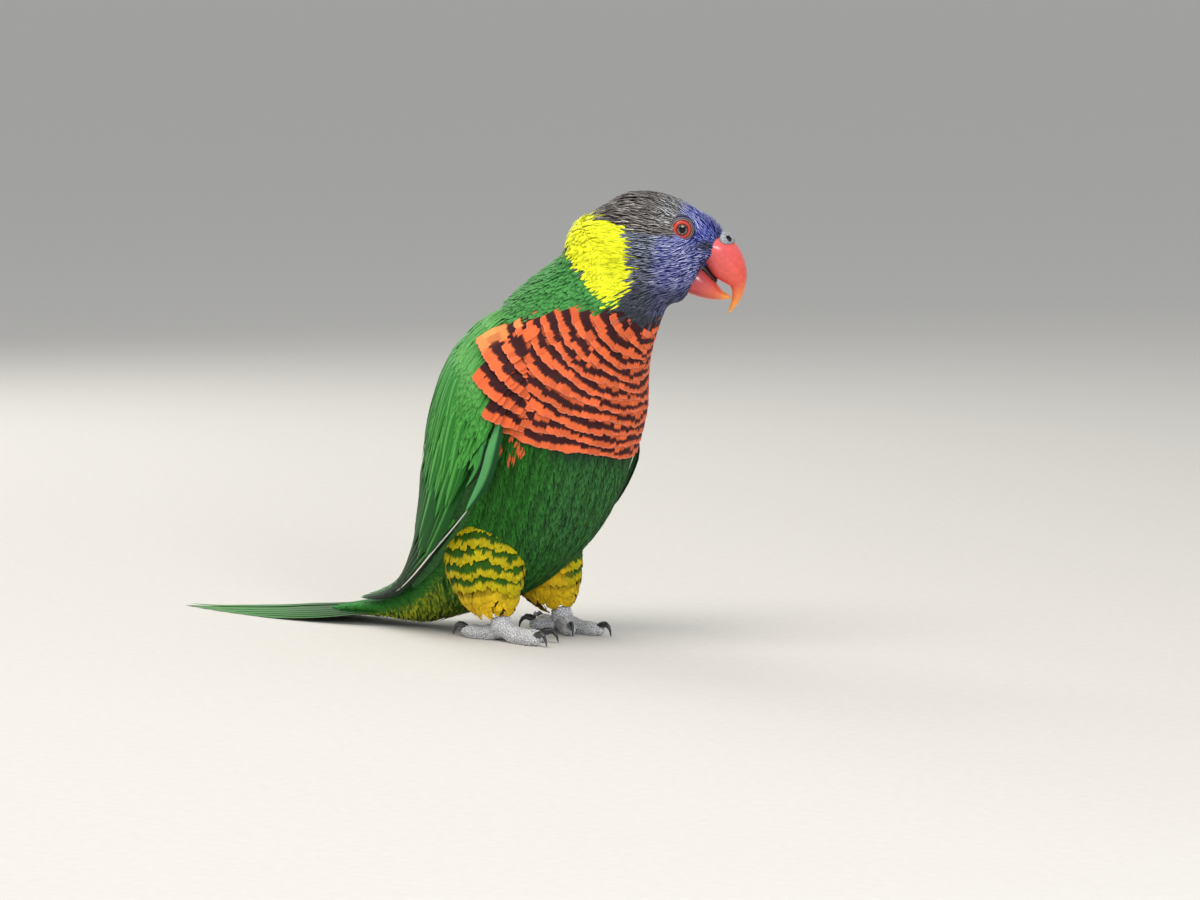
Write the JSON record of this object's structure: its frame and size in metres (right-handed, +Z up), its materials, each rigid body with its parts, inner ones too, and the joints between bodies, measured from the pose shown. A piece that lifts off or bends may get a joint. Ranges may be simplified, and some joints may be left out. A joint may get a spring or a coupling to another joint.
{
  "type": "rainbow lorikeet",
  "caption": "Life-size rainbow lorikeet standing upright on the floor, head turned to its left and long tail laid out behind, as a still museum model.",
  "frame": {"origin": "on the floor under the middle of the bird's bounding box, tail included", "axes": "+X is the way the body faces, +Y is the bird's left, +Z is up; the head is turned about 31 degrees towards +Y"},
  "size_m": [0.2167, 0.0731, 0.1461],
  "materials": {
    "body_plumage": "soft contour feathers",
    "head_plumage": "short streaked feathers",
    "wing_feathers": "firm feathers with a slight sheen",
    "tail_feathers": "firm feathers with a slight sheen",
    "bill": "satin horn",
    "bare_skin": "bare speckled skin",
    "eye": "wet gloss",
    "foot_skin": "finely scaled skin",
    "claw": "satin horn"
  },
  "bodies": {
    "root": {"torso": "body_plumage", "neck": "body_plumage", "head": "head_plumage", "tail": "tail_feathers", "bill_upper": "bill", "bill_lower": "bill", "cere": "bare_skin", "eye_left": "eye", "wing_left": "wing_feathers", "thigh_left": "body_plumage", "foot_left": "foot_skin", "claw_left_hind_inner": "claw", "claw_left_front_inner": "claw", "claw_left_front_outer": "claw", "claw_left_hind_outer": "claw", "eye_right": "eye", "wing_right": "wing_feathers", "thigh_right": "body_plumage", "foot_right": "foot_skin", "claw_right_hind_inner": "claw", "claw_right_front_inner": "claw", "claw_right_front_outer": "claw", "claw_right_hind_outer": "claw"}
  },
  "joints": []
}
